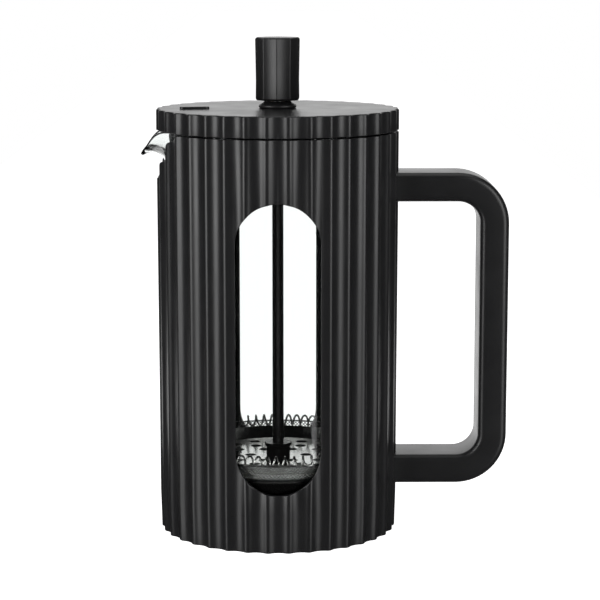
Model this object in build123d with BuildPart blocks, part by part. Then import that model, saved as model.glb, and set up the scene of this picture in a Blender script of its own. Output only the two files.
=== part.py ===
from build123d import *
import os
from math import cos, radians, sin

# French press, millimetres. Z = 0 is the underside, the axis of the glass is X = Y = 0,
# the spout points to -X, the handle to +X and the front window to -Y.

# ---- driving dimensions -------------------------------------------------------------------

# glass beaker
glass_radius = 49.2
glass_wall = 1.8
glass_height = 173.0
glass_floor = 2.6
glass_corner = 7.0
glass_foot_inset = 19.2
glass_foot_slope = 4.2
glass_push_up = 1.4
spout_reach = 11.3
spout_drop = 11.0
spout_root_radius = 18.0
spout_root_inset = 3.2
spout_root_lift = 1.5
spout_tip_radius = 2.6
spout_wall = 1.35
lip_start_inset = 4.0
lip_bow_reach = 6.4
lip_bow_drop = 4.4
lip_cut_reach = 0.6
lip_cut_drop = 2.0

# fluted housing
flute_count = 36
flute_depth = 1.35
flute_arris = 2.1
bore_clearance = 0.7
shell_wall = 3.55
shell_draft = 0.4
shell_foot_taper = 0.45
shell_foot_height = 17.0
shell_foot_round = 0.6
shell_floor = 3.0
rim_cover = 0.1
underside_recess_margin = 7.6
underside_recess_width = 19.0
underside_recess_depth = 1.0
window_width = 36.6
window_bottom = 25.4
window_top_margin = 26.9
notch_half_width = 22.4
notch_shoulder_half_width = 14.5
notch_flare_half_width = 34.0
notch_side_drop = 3.6
notch_shoulder_drop = 9.5
notch_throat_drop = 12.6
notch_vee_drop = 27.1
notch_vee_radius = 14.0
notch_flare_radius = 3.0
notch_side_radius = 1.8
notch_shoulder_radius = 4.0

# ring pad under the glass
pad_thickness = 2.0
pad_gap = 4.9
pad_width = 16.0
pad_chamfer = 0.4

# handle and its screws
handle_thickness = 12.8
handle_depth = 26.0
handle_edge_round = 3.0
handle_reach = 48.35
handle_top_margin = 17.7
handle_bottom_margin = 21.2
handle_inner_corner = 9.7
screw_radius = 1.5
screw_head_radius = 2.8
screw_length = 16.0
screw_spacing = 12.0
screw_hole_clearance = 0.1
screw_slot_length = 3.4
screw_slot_width = 0.8
screw_slot_depth = 0.9

# lid
lid_overhang = 0.05
lid_gap = 0.6
lid_height = 9.3
lid_top_round = 0.8
lid_skirt_wall = 2.1
lid_top_wall = 2.4
lid_turn = 10.0
marker_length = 13.0
marker_width = 3.4
marker_height = 1.1
marker_corner = 1.6
marker_edge_round = 0.33
marker_inset = 16.6

# liner, the plug of the lid
liner_clearance = 0.8
liner_wall = 1.8
liner_depth = 18.0
liner_floor = 2.0
liner_rim_gap = 0.3
liner_flange_thickness = 2.0
liner_flange_overlap = 2.3
liner_boss_wall = 3.0
pour_slot_width = 2.0
pour_slot_height = 9.0
pour_slot_rise = 1.2
pour_slot_count = 9
pour_slot_pitch = 6.5
pour_mouth_width = 38.0
floor_opening_radius = 27.0
floor_opening_width = 14.0
floor_opening_count = 6
floor_opening_arc = 20.0
seal_height = 3.0
seal_rise = 1.4
seal_chamfer = 0.5
seal_groove_depth = 0.9
seal_gap = 0.3
running_fit = 0.05

# collar, bushes and nut on the lid's axis
collar_base_radius = 8.4
collar_top_radius = 6.0
collar_height = 3.0
collar_step = 0.7
collar_wall = 1.5
bush_wall = 0.95
bush_length = 9.0
lid_nut_flats = 15.0
lid_nut_height = 3.0
lid_nut_proud = 0.5
nut_chamfer = 0.4

# plunger rod and knob
rod_radius = 2.5
rod_thread_step = 0.5
rod_thread_gap = 1.0
rod_thread_engagement = 8.0
rod_chamfer = 0.4
knob_gap = 0.5
knob_height = 27.5
knob_top_radius = 10.2
knob_waist_radius = 9.9
knob_bottom_radius = 10.0
knob_waist_height = 8.5
knob_flute_count = 10
knob_flute_depth = 0.75
knob_arris = 0.45
knob_end_round = 1.1
knob_turn = -2.5
insert_wall = 1.6
insert_length = 12.0

# filter stack
filter_clearance_to_glass = 0.6
stack_bottom = 29.6
cross_plate_thickness = 0.8
cross_plate_gap = 2.0
cross_plate_rim = 4.0
cross_plate_hub = 9.0
cross_plate_spoke = 6.0
cross_plate_spokes = 6
cross_plate_turn = 15.0
mesh_thickness = 0.5
mesh_height = 7.3
mesh_corner = 1.5
spiral_plate_thickness = 0.8
spiral_plate_rim_width = 5.1
spiral_plate_rise = 4.6
spiral_hole_radius = 2.5
spiral_hole_margin = 6.0
spiral_ring_first = 12.5
spiral_ring_pitch = 8.0
spiral_ring_counts = (6, 12, 16)
coil_radius = 2.9
coil_rise = 7.4
coil_gap = 0.2
hub_radius = 5.3
hub_flange_radius = 6.0
hub_flange_height = 1.2
hub_height = 6.0
hub_stud_radius = 3.2
hub_stud_length = 7.5
hub_stud_chamfer = 0.4
hub_top_chamfer = 0.3
hub_tap_gap = 0.5
washer_radius = 5.8
washer_thickness = 0.8
nut_flats = 10.0
nut_height = 3.2
travel_gap = 0.7

# ---- places that follow from them ---------------------------------------------------------

glass_bottom = shell_floor + pad_thickness
glass_rim = glass_bottom + glass_height
glass_inner_radius = glass_radius - glass_wall
glass_foot_radius = glass_radius - glass_foot_inset
bore_radius = glass_radius + bore_clearance
shell_height = glass_rim + rim_cover
shell_radius = bore_radius + shell_wall
shell_waist_radius = shell_radius - shell_draft
shell_foot_radius = shell_waist_radius - shell_foot_taper
underside_recess_outer = shell_foot_radius - underside_recess_margin
underside_recess_inner = underside_recess_outer - underside_recess_width
pad_outer_radius = bore_radius - pad_gap
pad_inner_radius = pad_outer_radius - pad_width
screw_shoulder = screw_head_radius - screw_radius
lid_radius = shell_radius + lid_overhang
lid_bottom = shell_height + lid_gap
lid_top = lid_bottom + lid_height
lid_ceiling = lid_top - lid_top_wall
marker_radius = lid_radius - marker_inset
liner_radius = glass_inner_radius - liner_clearance
liner_bottom = glass_rim - liner_depth
collar_top = lid_top + collar_height
knob_bottom = collar_top + knob_gap
knob_top = knob_bottom + knob_height
bush_radius = rod_radius + running_fit + bush_wall
collar_shank_radius = bush_radius + collar_wall
rod_thread_radius = rod_radius - rod_thread_step
insert_radius = rod_thread_radius + insert_wall
lid_nut_top = liner_bottom
lid_nut_bottom = lid_nut_top - lid_nut_height
mesh_bottom = stack_bottom + cross_plate_thickness
mesh_radius = glass_inner_radius - filter_clearance_to_glass
cross_plate_radius = glass_inner_radius - cross_plate_gap
spiral_bottom = mesh_bottom + mesh_thickness
hub_bottom = spiral_bottom + spiral_plate_thickness
hub_top = hub_bottom + hub_height
coil_ring_radius = mesh_radius - mesh_thickness - coil_gap - coil_radius
spiral_plate_radius = coil_ring_radius - coil_radius - coil_gap
spiral_plate_flat_radius = spiral_plate_radius - spiral_plate_rim_width
spiral_hole_limit = spiral_plate_flat_radius - spiral_hole_margin
coil_height = spiral_bottom + coil_rise
coil_top = coil_height + coil_radius
plunger_travel = liner_bottom - coil_top - travel_gap

os.makedirs("parts", exist_ok=True)


def fluted_section(radius, count, depth, arris):
    """Face of a round bar with concave flutes; `radius` is over the rounded arrises.
    A flute is centred on +X, and each arris arc is tangent to the two flutes beside it."""
    half = radians(180 / count)
    arris_centre = radius - arris
    inset = radius - depth - arris_centre * cos(half)
    side = arris_centre * sin(half)
    flute_radius = (inset**2 + side**2 - arris**2) / (2 * (arris - inset))
    flute_centre = radius - depth + flute_radius
    share = arris / (flute_radius + arris)
    touch_x = arris_centre * cos(half) + share * (flute_centre - arris_centre * cos(half))
    touch_y = side - share * side
    start = Vector(touch_x, -touch_y)
    trough = Vector(radius - depth, 0)
    end = Vector(touch_x, touch_y)
    crest = Vector(radius * cos(half), radius * sin(half))
    pitch = 360 / count
    with BuildSketch() as section:
        with BuildLine():
            for index in range(count):
                turn = index * pitch
                flute = [point.rotate(Axis.Z, turn) for point in (start, trough, end)]
                ThreePointArc(*flute)
                following = start.rotate(Axis.Z, turn + pitch)
                ThreePointArc(flute[2], crest.rotate(Axis.Z, turn), following)
        make_face()
    return section.sketch


# ---- outer shell: moulded housing with flutes, two windows and a notch for the spout -------

with BuildPart() as shell_outside:
    shell_sections = (
        (0, shell_foot_radius),
        (shell_foot_height, shell_waist_radius),
        (shell_height, shell_radius),
    )
    for height, section_radius in shell_sections:
        with BuildSketch(Plane.XY.offset(height)):
            add(fluted_section(section_radius, flute_count, flute_depth, flute_arris))
    loft(ruled=True)

handle_arm_heights = (
    handle_bottom_margin + handle_thickness / 2,
    shell_height - handle_top_margin - handle_thickness / 2,
)
screw_places = [
    Plane(origin=(bore_radius, y, z), x_dir=(0, 1, 0), z_dir=(-1, 0, 0))
    for z in handle_arm_heights
    for y in (-screw_spacing / 2, screw_spacing / 2)
]

with BuildPart() as outer_shell:
    add(shell_outside.part)
    # rounded bottom edge, turned off the foot
    with BuildSketch(Plane.XZ):
        with BuildLine():
            foot_start = (shell_foot_radius - shell_foot_round, 0)
            foot_end = (shell_foot_radius, shell_foot_round)
            foot_corner = (shell_foot_radius + shell_foot_round, -shell_foot_round)
            RadiusArc(foot_start, foot_end, -shell_foot_round)
            Polyline(foot_end, (foot_corner[0], foot_end[1]), foot_corner)
            Polyline(foot_corner, (foot_start[0], foot_corner[1]), foot_start)
        make_face()
    revolve(axis=Axis.Z, mode=Mode.SUBTRACT)
    with BuildSketch(Plane.XY.offset(shell_floor)):
        Circle(bore_radius)
    extrude(amount=shell_height, mode=Mode.SUBTRACT)
    with BuildSketch(Plane.XY):
        Circle(underside_recess_outer)
        Circle(underside_recess_inner, mode=Mode.SUBTRACT)
    extrude(amount=underside_recess_depth, mode=Mode.SUBTRACT)
    window_length = shell_height - window_top_margin - window_bottom
    with BuildSketch(Plane.XZ):
        with Locations((0, window_bottom + window_length / 2)):
            SlotOverall(window_length, window_width, rotation=90)
    extrude(amount=shell_radius + flute_depth, both=True, mode=Mode.SUBTRACT)
    notch_radii = (notch_flare_radius, notch_side_radius, notch_shoulder_radius)
    with BuildSketch(Plane.YZ):
        with BuildLine():
            notch = FilletPolyline(
                (-notch_flare_half_width, shell_height + lid_gap),
                (-notch_half_width, shell_height - notch_side_drop),
                (-notch_half_width, shell_height - notch_shoulder_drop),
                (-notch_shoulder_half_width, shell_height - notch_throat_drop),
                (0, shell_height - notch_vee_drop),
                (notch_shoulder_half_width, shell_height - notch_throat_drop),
                (notch_half_width, shell_height - notch_shoulder_drop),
                (notch_half_width, shell_height - notch_side_drop),
                (notch_flare_half_width, shell_height + lid_gap),
                radius=(*notch_radii, notch_vee_radius, *reversed(notch_radii)),
            )
            Line(notch @ 1, notch @ 0)
        make_face()
    extrude(amount=-(shell_radius + flute_depth), mode=Mode.SUBTRACT)
    with Locations(*screw_places):
        CounterSinkHole(
            screw_radius + screw_hole_clearance, screw_head_radius, 3 * shell_wall, counter_sink_angle=90
        )
outer_shell.part.label = "outer_shell"
export_step(outer_shell.part, "parts/outer_shell.step")

# ---- beaker pad: silicone ring on the housing's floor --------------------------------------

with BuildPart() as beaker_pad:
    with BuildSketch(Plane.XY.offset(shell_floor)):
        Circle(pad_outer_radius)
        Circle(pad_inner_radius, mode=Mode.SUBTRACT)
    extrude(amount=pad_thickness)
    chamfer(beaker_pad.edges().group_by(Axis.Z)[-1], length=pad_chamfer)
beaker_pad.part.label = "beaker_pad"
export_step(beaker_pad.part, "parts/beaker_pad.step")

# ---- beaker: blown glass cup with a lip drawn out and down into a spout --------------------

# the spout is a cone that narrows from inside the wall to the tip, hollowed by a second cone
spout_root = Vector(-glass_radius + spout_root_inset, 0, glass_rim + spout_root_lift)
spout_tip = Vector(-glass_radius - spout_reach, 0, glass_rim - spout_drop)
spout_axis = spout_tip - spout_root
spout_root_plane = Plane(origin=spout_root, x_dir=(0, 1, 0), z_dir=spout_axis)
spout_tip_plane = Plane(origin=spout_tip, x_dir=(0, 1, 0), z_dir=spout_axis)
glass_inner_corner = glass_corner - glass_wall
spout_sections = ((spout_root_plane, spout_root_radius), (spout_tip_plane, spout_tip_radius))

with BuildPart() as beaker:
    with BuildSketch(Plane.XZ):
        with BuildLine():
            foot_flat = (glass_radius - glass_corner, glass_bottom)
            Polyline(
                (0, glass_rim),
                (0, glass_bottom + glass_push_up),
                (glass_foot_radius - glass_foot_slope, glass_bottom + glass_push_up),
                (glass_foot_radius, glass_bottom),
                foot_flat,
            )
            wall_start = (glass_radius, glass_bottom + glass_corner)
            RadiusArc(foot_flat, wall_start, -glass_corner)
            Polyline(wall_start, (glass_radius, glass_rim), (0, glass_rim))
        make_face()
    revolve(axis=Axis.Z)
    for plane, section_radius in spout_sections:
        with BuildSketch(plane):
            Circle(section_radius)
    loft()
    with BuildSketch(Plane.XZ):
        with BuildLine():
            floor_top = glass_bottom + glass_push_up + glass_floor
            floor_edge = (glass_inner_radius - glass_inner_corner, floor_top)
            wall_foot = (glass_inner_radius, floor_top + glass_inner_corner)
            Line((0, floor_top), floor_edge)
            RadiusArc(floor_edge, wall_foot, -glass_inner_corner)
            open_top = glass_rim + 2 * spout_root_radius
            Polyline(wall_foot, (glass_inner_radius, open_top), (0, open_top), (0, floor_top))
        make_face()
    revolve(axis=Axis.Z, mode=Mode.SUBTRACT)
    for plane, section_radius in spout_sections:
        with BuildSketch(plane):
            Circle(section_radius - spout_wall)
    loft(mode=Mode.SUBTRACT)
    # everything above the rim, and above the line on which the lip falls to the tip
    with BuildSketch(Plane.XZ):
        with BuildLine():
            lip_start = (-glass_radius + lip_start_inset, glass_rim)
            lip_middle = (-glass_radius - lip_bow_reach, glass_rim - lip_bow_drop)
            lip_end = (spout_tip.X - lip_cut_reach, spout_tip.Z - lip_cut_drop)
            ThreePointArc(lip_start, lip_middle, lip_end)
            clear_left = -glass_radius - 2 * spout_reach
            clear_top = glass_rim + 2 * spout_root_radius
            Polyline(lip_end, (clear_left, lip_end[1]), (clear_left, clear_top), (glass_radius, clear_top))
            Polyline((glass_radius, clear_top), (glass_radius, glass_rim), lip_start)
        make_face()
    extrude(amount=glass_radius, both=True, mode=Mode.SUBTRACT)
beaker.part.label = "beaker"
export_step(beaker.part, "parts/beaker.step")

# ---- handle: D-shaped moulding, its arms cut to the flutes of the housing ------------------

handle_outside_x = shell_radius + handle_reach
handle_inside_x = handle_outside_x - handle_thickness
handle_top = shell_height - handle_top_margin
with BuildPart() as handle:
    with BuildSketch(Plane.XZ):
        with BuildLine():
            outside = FilletPolyline(
                (glass_radius, handle_top),
                (handle_outside_x, handle_top),
                (handle_outside_x, handle_bottom_margin),
                (glass_radius, handle_bottom_margin),
                radius=handle_inner_corner + handle_thickness,
            )
            inside = FilletPolyline(
                (glass_radius, handle_bottom_margin + handle_thickness),
                (handle_inside_x, handle_bottom_margin + handle_thickness),
                (handle_inside_x, handle_top - handle_thickness),
                (glass_radius, handle_top - handle_thickness),
                radius=handle_inner_corner,
            )
            Line(outside @ 1, inside @ 0)
            Line(inside @ 1, outside @ 0)
        make_face()
    extrude(amount=handle_depth / 2, both=True)
    handle_sides = handle.faces().filter_by(Axis.Y)
    fillet(handle_sides.edges(), radius=handle_edge_round)
    add(shell_outside.part, mode=Mode.SUBTRACT)
    for place in screw_places:
        with BuildSketch(place):
            Circle(screw_radius)
        extrude(amount=-screw_length, mode=Mode.SUBTRACT)
        with BuildSketch(place):
            Circle(screw_head_radius)
        with BuildSketch(place.offset(-screw_shoulder)):
            Circle(screw_radius)
        loft(mode=Mode.SUBTRACT)
handle.part.label = "handle"
export_step(handle.part, "parts/handle.step")

# ---- handle screws: two countersunk screws through the wall into each arm ------------------

with BuildPart() as handle_screws:
    for place in screw_places:
        with BuildSketch(place):
            Circle(screw_head_radius)
        with BuildSketch(place.offset(-screw_shoulder)):
            Circle(screw_radius)
        loft()
        with BuildSketch(place.offset(-screw_shoulder)):
            Circle(screw_radius)
        extrude(amount=-(screw_length - screw_shoulder))
        with BuildSketch(place):
            Rectangle(screw_slot_length, screw_slot_width)
            Rectangle(screw_slot_width, screw_slot_length)
        extrude(amount=-screw_slot_depth, mode=Mode.SUBTRACT)
handle_screws.part.label = "handle_screws"
export_step(handle_screws.part, "parts/handle_screws.step")

# ---- lid cover: fluted cap whose flutes run on from the housing's --------------------------

with BuildPart() as lid_cover:
    with BuildSketch(Plane.XY.offset(lid_bottom)):
        add(fluted_section(lid_radius, flute_count, flute_depth, flute_arris))
    extrude(amount=lid_height)
    # rounded top edge
    with BuildSketch(Plane.XZ):
        with BuildLine():
            round_start = (lid_radius, lid_top - lid_top_round)
            round_end = (lid_radius - lid_top_round, lid_top)
            RadiusArc(round_start, round_end, -lid_top_round)
            outer_corner = (lid_radius + lid_top_round, lid_top + lid_top_round)
            Polyline(round_end, (round_end[0], outer_corner[1]), outer_corner)
            Polyline(outer_corner, (outer_corner[0], round_start[1]), round_start)
        make_face()
    revolve(axis=Axis.Z, mode=Mode.SUBTRACT)
    with BuildSketch(Plane.XY.offset(lid_bottom)):
        Circle(lid_radius - flute_depth - lid_skirt_wall)
    extrude(amount=lid_ceiling - lid_bottom, mode=Mode.SUBTRACT)
    with BuildSketch(Plane.XY.offset(lid_bottom)):
        Circle(collar_shank_radius)
    extrude(amount=lid_height, mode=Mode.SUBTRACT)
lid_cover.part.label = "lid_cover"
export_step(lid_cover.part, "parts/lid_cover.step")

# ---- lid marker: raised bar that points to the pouring side of the lid ---------------------

lid_pointer = Plane.XY.rotated((0, 0, 180 + lid_turn))
with BuildPart() as lid_marker:
    with BuildSketch(lid_pointer.offset(lid_top)):
        with Locations((marker_radius, 0)):
            RectangleRounded(marker_length, marker_width, marker_corner)
    extrude(amount=marker_height)
    fillet(lid_marker.edges().group_by(Axis.Z)[-1], radius=marker_edge_round)
lid_marker.part.label = "lid_marker"
export_step(lid_marker.part, "parts/lid_marker.step")

# ---- lid liner: plug with a flange on the rim, pouring slots and a wide pouring mouth ------

with BuildPart() as lid_liner:
    flange_bottom = glass_rim + liner_rim_gap
    with BuildSketch(Plane.XY.offset(liner_bottom)):
        Circle(liner_radius)
    extrude(amount=lid_ceiling - liner_bottom)
    with BuildSketch(Plane.XY.offset(flange_bottom)):
        Circle(liner_radius + liner_flange_overlap)
    extrude(amount=liner_flange_thickness)
    with BuildSketch(Plane.XY.offset(liner_bottom + liner_floor)):
        Circle(liner_radius - liner_wall)
        Circle(collar_shank_radius + liner_boss_wall, mode=Mode.SUBTRACT)
    extrude(amount=lid_ceiling - liner_bottom - liner_floor, mode=Mode.SUBTRACT)
    with BuildSketch(Plane.XY.offset(liner_bottom)):
        Circle(collar_shank_radius)
    extrude(amount=lid_ceiling - liner_bottom, mode=Mode.SUBTRACT)
    # groove for the seal ring near the bottom edge
    groove_bottom = liner_bottom + seal_rise
    with BuildSketch(Plane.XY.offset(groove_bottom)):
        Circle(liner_radius + liner_flange_overlap)
        Circle(liner_radius - seal_groove_depth, mode=Mode.SUBTRACT)
    extrude(amount=seal_height, mode=Mode.SUBTRACT)
    # strainer slots towards the pointer, and the wide mouth opposite
    slot_bottom = groove_bottom + seal_height + pour_slot_rise
    slot_centre = slot_bottom + pour_slot_height / 2
    first_slot = 180 + lid_turn - pour_slot_pitch * (pour_slot_count - 1) / 2
    for index in range(pour_slot_count):
        slot_plane = Plane.YZ.rotated((0, 0, first_slot + index * pour_slot_pitch))
        with BuildSketch(slot_plane.offset(liner_radius / 2)):
            with Locations((0, slot_centre)):
                SlotOverall(pour_slot_height, pour_slot_width, rotation=90)
        extrude(amount=liner_radius, mode=Mode.SUBTRACT)
    with BuildSketch(Plane.YZ.rotated((0, 0, lid_turn)).offset(liner_radius / 2)):
        with Locations((0, slot_centre)):
            RectangleRounded(pour_mouth_width, pour_slot_height, pour_slot_width)
    extrude(amount=liner_radius, mode=Mode.SUBTRACT)
    # openings in the floor that let the coffee up into the plug
    for index in range(floor_opening_count):
        with BuildSketch(Plane.XY.offset(liner_bottom)):
            opening_start = lid_turn + (index + 0.5) * 360 / floor_opening_count - floor_opening_arc / 2
            with BuildLine():
                opening = CenterArc((0, 0), floor_opening_radius, opening_start, floor_opening_arc)
            SlotArc(opening, floor_opening_width)
        extrude(amount=liner_floor, mode=Mode.SUBTRACT)
lid_liner.part.label = "lid_liner"
export_step(lid_liner.part, "parts/lid_liner.step")

# ---- lid seal: silicone ring in the liner's groove -----------------------------------------

with BuildPart() as lid_seal:
    with BuildSketch(Plane.XY.offset(groove_bottom + running_fit)):
        Circle(glass_inner_radius - seal_gap)
        Circle(liner_radius - seal_groove_depth + running_fit, mode=Mode.SUBTRACT)
    extrude(amount=seal_height - 2 * running_fit)
    chamfer(lid_seal.edges().filter_by(GeomType.CIRCLE).sort_by(SortBy.RADIUS)[-2:], length=seal_chamfer)
lid_seal.part.label = "lid_seal"
export_step(lid_seal.part, "parts/lid_seal.step")

# ---- lid collar: cone under the knob, with a threaded shank through cover and liner --------

with BuildPart() as lid_collar:
    with BuildSketch(Plane.XZ):
        with BuildLine():
            Polyline(
                (0, lid_nut_bottom - lid_nut_proud),
                (collar_shank_radius, lid_nut_bottom - lid_nut_proud),
                (collar_shank_radius, lid_top),
                (collar_base_radius, lid_top),
                (collar_base_radius, lid_top + collar_step),
                (collar_top_radius, collar_top),
                (0, collar_top),
                close=True,
            )
        make_face()
    revolve(axis=Axis.Z)
    with BuildSketch(Plane.XY.offset(lid_nut_bottom - lid_nut_proud)):
        Circle(bush_radius)
    extrude(amount=collar_top, mode=Mode.SUBTRACT)
lid_collar.part.label = "lid_collar"
export_step(lid_collar.part, "parts/lid_collar.step")

# ---- rod bushes: one at each end of the collar's bore --------------------------------------

with BuildPart() as rod_bushes:
    for height in (lid_nut_bottom - lid_nut_proud, collar_top - bush_length):
        with BuildSketch(Plane.XY.offset(height)):
            Circle(bush_radius)
            Circle(rod_radius + running_fit, mode=Mode.SUBTRACT)
        extrude(amount=bush_length)
rod_bushes.part.label = "rod_bushes"
export_step(rod_bushes.part, "parts/rod_bushes.step")

# ---- lid nut: clamps the liner to the cover -----------------------------------------------

with BuildPart() as lid_nut:
    with BuildSketch(Plane.XY.offset(lid_nut_bottom)):
        RegularPolygon(lid_nut_flats / 2, side_count=6, major_radius=False)
        Circle(collar_shank_radius, mode=Mode.SUBTRACT)
    extrude(amount=lid_nut_height)
    chamfer(lid_nut.edges().group_by(Axis.Z)[0].filter_by(GeomType.LINE), length=nut_chamfer)
lid_nut.part.label = "lid_nut"
export_step(lid_nut.part, "parts/lid_nut.step")

# ---- knob: fluted grip with a slight waist -------------------------------------------------

with BuildPart() as knob:
    knob_sections = (
        (knob_bottom, knob_bottom_radius),
        (knob_bottom + knob_waist_height, knob_waist_radius),
        (knob_top, knob_top_radius),
    )
    for height, section_radius in knob_sections:
        with BuildSketch(Plane.XY.offset(height).rotated((0, 0, knob_turn))):
            add(fluted_section(section_radius, knob_flute_count, knob_flute_depth, knob_arris))
    loft(ruled=True)
    # rounded ends
    with BuildSketch(Plane.XZ):
        with BuildLine():
            envelope = FilletPolyline(
                (0, knob_bottom),
                (knob_bottom_radius, knob_bottom),
                (knob_top_radius, knob_top),
                (0, knob_top),
                radius=knob_end_round,
            )
            Line(envelope @ 1, envelope @ 0)
        make_face()
    revolve(axis=Axis.Z, mode=Mode.INTERSECT)
    with BuildSketch(Plane.XY.offset(knob_bottom)):
        Circle(insert_radius)
    extrude(amount=insert_length, mode=Mode.SUBTRACT)
knob.part.label = "knob"
export_step(knob.part, "parts/knob.step")

# ---- knob insert: threaded brass bush moulded into the knob --------------------------------

with BuildPart() as knob_insert:
    with BuildSketch(Plane.XY.offset(knob_bottom)):
        Circle(insert_radius)
        Circle(rod_thread_radius, mode=Mode.SUBTRACT)
    extrude(amount=insert_length)
knob_insert.part.label = "knob_insert"
export_step(knob_insert.part, "parts/knob_insert.step")

# ---- plunger rod: threaded into the knob above and the filter hub below --------------------

rod_shoulder = hub_top + running_fit
rod_end = rod_shoulder - rod_thread_engagement
with BuildPart() as plunger_rod:
    with BuildSketch(Plane.XY.offset(rod_shoulder)):
        Circle(rod_radius)
    extrude(amount=knob_bottom - rod_shoulder)
    with BuildSketch(Plane.XY.offset(rod_end)):
        Circle(rod_thread_radius)
    extrude(amount=knob_bottom + insert_length - rod_thread_gap - rod_end)
    chamfer(plunger_rod.edges().group_by(Axis.Z)[0], length=rod_chamfer)
plunger_rod.part.label = "plunger_rod"
export_step(plunger_rod.part, "parts/plunger_rod.step")

# ---- filter hub: turned hub, tapped for the rod, with a stud that carries the plates -------

with BuildPart() as filter_hub:
    with BuildSketch(Plane.XZ):
        with BuildLine():
            stud_end = hub_bottom - hub_stud_length
            Polyline(
                (0, stud_end),
                (hub_stud_radius - hub_stud_chamfer, stud_end),
                (hub_stud_radius, stud_end + hub_stud_chamfer),
                (hub_stud_radius, hub_bottom),
                (hub_radius, hub_bottom),
                (hub_radius, hub_top - hub_flange_height - hub_flange_radius + hub_radius),
                (hub_flange_radius, hub_top - hub_flange_height),
                (hub_flange_radius, hub_top - hub_top_chamfer),
                (hub_flange_radius - hub_top_chamfer, hub_top),
                (0, hub_top),
                close=True,
            )
        make_face()
    revolve(axis=Axis.Z)
    with BuildSketch(Plane.XY.offset(rod_end - hub_tap_gap)):
        Circle(rod_thread_radius + running_fit)
    extrude(amount=hub_top - rod_end + hub_tap_gap, mode=Mode.SUBTRACT)
filter_hub.part.label = "filter_hub"
export_step(filter_hub.part, "parts/filter_hub.step")

# ---- spiral plate: perforated dish whose raised rim carries the coil spring ----------------

with BuildPart() as spiral_plate:
    with BuildSketch(Plane.XZ):
        with BuildLine():
            Polyline(
                (hub_stud_radius, spiral_bottom),
                (spiral_plate_flat_radius, spiral_bottom),
                (spiral_plate_radius, spiral_bottom + spiral_plate_rise),
                (spiral_plate_radius, spiral_bottom + spiral_plate_rise + spiral_plate_thickness),
                (spiral_plate_flat_radius, spiral_bottom + spiral_plate_thickness),
                (hub_stud_radius, spiral_bottom + spiral_plate_thickness),
                close=True,
            )
        make_face()
    revolve(axis=Axis.Z)
    # as many rings of holes as the flat of the plate has room for
    ring_total = 1 + int((spiral_hole_limit - spiral_ring_first) / spiral_ring_pitch)
    for ring_index, ring_count in enumerate(spiral_ring_counts[:ring_total]):
        ring_radius = spiral_ring_first + ring_index * spiral_ring_pitch
        with BuildSketch(Plane.XY.offset(spiral_bottom)):
            with PolarLocations(ring_radius, ring_count):
                Circle(spiral_hole_radius)
        extrude(amount=spiral_plate_thickness, mode=Mode.SUBTRACT)
spiral_plate.part.label = "spiral_plate"
export_step(spiral_plate.part, "parts/spiral_plate.step")

# ---- coil spring: the ring of wire that presses the screen to the glass, as its envelope ---

with BuildPart() as coil_spring:
    with BuildSketch(Plane.XZ):
        with Locations((coil_ring_radius, coil_height)):
            Circle(coil_radius)
    revolve(axis=Axis.Z)
coil_spring.part.label = "coil_spring"
export_step(coil_spring.part, "parts/coil_spring.step")

# ---- mesh screen: woven cup with its wall turned up along the glass ------------------------

with BuildPart() as mesh_screen:
    with BuildSketch(Plane.XZ):
        with BuildLine():
            mesh_outline = FilletPolyline(
                (hub_stud_radius, mesh_bottom),
                (mesh_radius, mesh_bottom),
                (mesh_radius, mesh_bottom + mesh_height),
                radius=mesh_corner,
            )
            mesh_inner_radius = mesh_radius - mesh_thickness
            mesh_inline = FilletPolyline(
                (mesh_inner_radius, mesh_bottom + mesh_height),
                (mesh_inner_radius, mesh_bottom + mesh_thickness),
                (hub_stud_radius, mesh_bottom + mesh_thickness),
                radius=mesh_corner - mesh_thickness,
            )
            Line(mesh_outline @ 1, mesh_inline @ 0)
            Line(mesh_inline @ 1, mesh_outline @ 0)
        make_face()
    revolve(axis=Axis.Z)
mesh_screen.part.label = "mesh_screen"
export_step(mesh_screen.part, "parts/mesh_screen.step")

# ---- cross plate: spoked disc under the screen ---------------------------------------------

with BuildPart() as cross_plate:
    with BuildSketch(Plane.XY.offset(stack_bottom)):
        Circle(cross_plate_radius)
        Circle(cross_plate_radius - cross_plate_rim, mode=Mode.SUBTRACT)
        Circle(cross_plate_hub)
        with PolarLocations(cross_plate_radius / 2, cross_plate_spokes, start_angle=cross_plate_turn):
            Rectangle(cross_plate_radius - cross_plate_rim / 2, cross_plate_spoke)
        Circle(hub_stud_radius, mode=Mode.SUBTRACT)
    extrude(amount=cross_plate_thickness)
cross_plate.part.label = "cross_plate"
export_step(cross_plate.part, "parts/cross_plate.step")

# ---- filter washer and nut: clamp the plates on the hub's stud -----------------------------

washer_bottom = stack_bottom - washer_thickness
with BuildPart() as filter_washer:
    with BuildSketch(Plane.XY.offset(washer_bottom)):
        Circle(washer_radius)
        Circle(hub_stud_radius, mode=Mode.SUBTRACT)
    extrude(amount=washer_thickness)
filter_washer.part.label = "filter_washer"
export_step(filter_washer.part, "parts/filter_washer.step")

with BuildPart() as filter_nut:
    with BuildSketch(Plane.XY.offset(washer_bottom - nut_height)):
        RegularPolygon(nut_flats / 2, side_count=6, major_radius=False)
        Circle(hub_stud_radius, mode=Mode.SUBTRACT)
    extrude(amount=nut_height)
    chamfer(filter_nut.edges().group_by(Axis.Z)[0].filter_by(GeomType.LINE), length=nut_chamfer)
filter_nut.part.label = "filter_nut"
export_step(filter_nut.part, "parts/filter_nut.step")

print("plunger travel", round(plunger_travel, 2))
print("beaker lift that frees the glass", round(shell_height + pad_thickness, 2))
print("lid lift that frees the filter", round(glass_rim - washer_bottom + nut_height, 2))
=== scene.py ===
import math

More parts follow.
